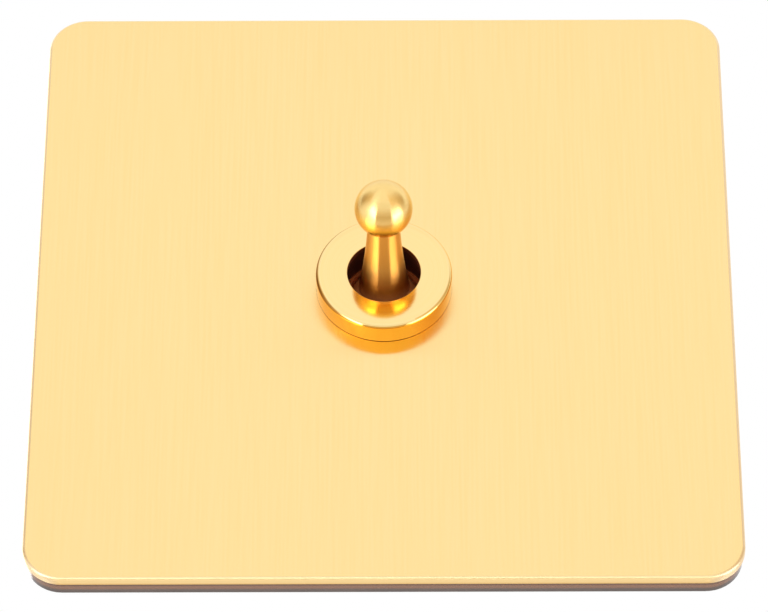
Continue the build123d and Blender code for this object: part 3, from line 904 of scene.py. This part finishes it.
studio_level = 0.8
lamp_watts_for_white = 4.0
white = "#FFFFFF"
warm_grey = "#FFE2B4"
floor_glow = 0.2
floor_height = -1120 * mm
floor_size = 8000 * mm


def seen_directly(tree):
    """1 for what the camera sees, also off metal and through clear plastic, 0 for light."""
    path = add_node(tree, "ShaderNodeLightPath").outputs
    seen = maths(tree, "MAXIMUM", path["Is Camera Ray"], path["Is Glossy Ray"])
    return maths(tree, "MAXIMUM", seen, path["Is Transmission Ray"])


def light_tent():
    """White for what the camera, the metal and the clear plastic see. What lights the
    rest is softer."""
    world = bpy.data.worlds.new("light_tent")
    world.use_nodes = True
    bpy.context.scene.world = world
    tree = world.node_tree
    tree.nodes.clear()
    lighting, backdrop = [
        add_node(tree, "ShaderNodeBackground", {"Color": linear(white), "Strength": level})
        for level in (studio_level, 1.0)]
    mixed = add_node(tree, "ShaderNodeMixShader", {
        0: seen_directly(tree), 1: lighting.outputs[0], 2: backdrop.outputs[0]})
    add_node(tree, "ShaderNodeOutputWorld", {"Surface": mixed.outputs[0]})


def soft_box(name, direction, distance, width, height, level):
    """A soft box seen from the object at a brightness level, where 1 is about white."""
    towards = Vector(direction)
    bpy.ops.object.light_add(type="AREA", location=towards.normalized() * distance,
                             rotation=towards.to_track_quat("Z", "Y").to_euler())
    lamp = bpy.context.object
    lamp.name = name
    lamp.data.shape = "RECTANGLE"
    lamp.data.size = width
    lamp.data.size_y = height
    lamp.data.energy = level * width * height * lamp_watts_for_white
    lamp.visible_camera = False


def grey_strip(name, start, end, distance, height, start_level, end_level):
    """A strip between two directions, that metal reflects at levels below white and that
    fades to white at its long borders. It shades nothing."""
    material, tree = empty_material(name)
    place = on_object(tree)
    level = spread(tree, along(tree, place, "X"), start_level, end_level, -0.5, 0.5)
    border = ramp(tree, maths(tree, "ABSOLUTE", along(tree, place, "Y")), 0.1, 0.5)
    glow = add_node(tree, "ShaderNodeEmission", {
        "Color": between(tree, border, warm_grey, white),
        "Strength": maths(tree, "MULTIPLY_ADD", border, maths(tree, "SUBTRACT", 1.0, level), level),
    })
    add_node(tree, "ShaderNodeOutputMaterial", {"Surface": glow.outputs[0]})
    start, end = [Vector(direction).normalized() * distance for direction in (start, end)]
    sideways = (end - start).normalized()
    out = (start + end).normalized()
    facing_object = Matrix((sideways, out.cross(sideways), out)).transposed().to_euler()
    bpy.ops.mesh.primitive_plane_add(size=1, location=(start + end) / 2, rotation=facing_object,
                                     scale=((end - start).length, height, 1))
    card = bpy.context.object
    card.name = name
    card.data.materials.append(material)
    card.visible_camera = False
    card.visible_diffuse = False
    card.visible_shadow = False
    card.visible_transmission = False


def pale_floor():
    """Matt white vinyl, a shade off white, that metal and clear plastic see as bright as
    the camera does. The share that is lit still takes the object's shadow."""
    material, tree, shader = new_material(
        "pale_floor", Roughness=0.7, Emission_Color=linear(white))
    cloud = noise(tree, spots(tree, 300, 300, 300))
    link(tree, shader,
         Base_Color=between(tree, cloud, "#F4F3F0", "#EFEEEA"),
         Emission_Strength=maths(tree, "MULTIPLY", seen_directly(tree), floor_glow))
    return material


light_tent()
soft_box("front_box", (0, -1.0, 0.25), distance=1.4, width=2.4, height=1.4, level=0.03)
soft_box("left_box", (-0.66, -0.38, -0.66), distance=1.1, width=1.0, height=1.3, level=0.35)
soft_box("left_core", (-0.60, -0.42, -0.68), distance=1.0, width=0.5, height=0.8, level=1.9)
soft_box("right_box", (0.78, -0.26, -0.57), distance=1.1, width=0.9, height=1.2, level=0.3)
soft_box("right_core", (0.83, -0.17, -0.53), distance=1.0, width=0.42, height=0.8, level=1.9)
soft_box("rear_box", (-0.55, 0.65, 0.52), distance=1.2, width=0.9, height=0.9, level=1.6)
grey_strip("low_strip", (-0.55, -0.25, -0.80), (0.55, -0.25, -0.80),
           distance=1.05, height=0.55, start_level=0.6, end_level=0.6)
grey_strip("left_strip", (-0.91, 0.20, 0.46), (-0.507, -0.841, 0.182),
           distance=1.3, height=0.5, start_level=0.3, end_level=0.85)
grey_strip("right_strip", (0.85, 0.18, 0.50), (0.10, -0.94, -0.32),
           distance=1.3, height=0.45, start_level=0.5, end_level=0.92)

bpy.ops.mesh.primitive_plane_add(size=floor_size, location=(0, 0, floor_height))
floor = bpy.context.object
floor.name = "floor"
floor.data.materials.append(pale_floor())
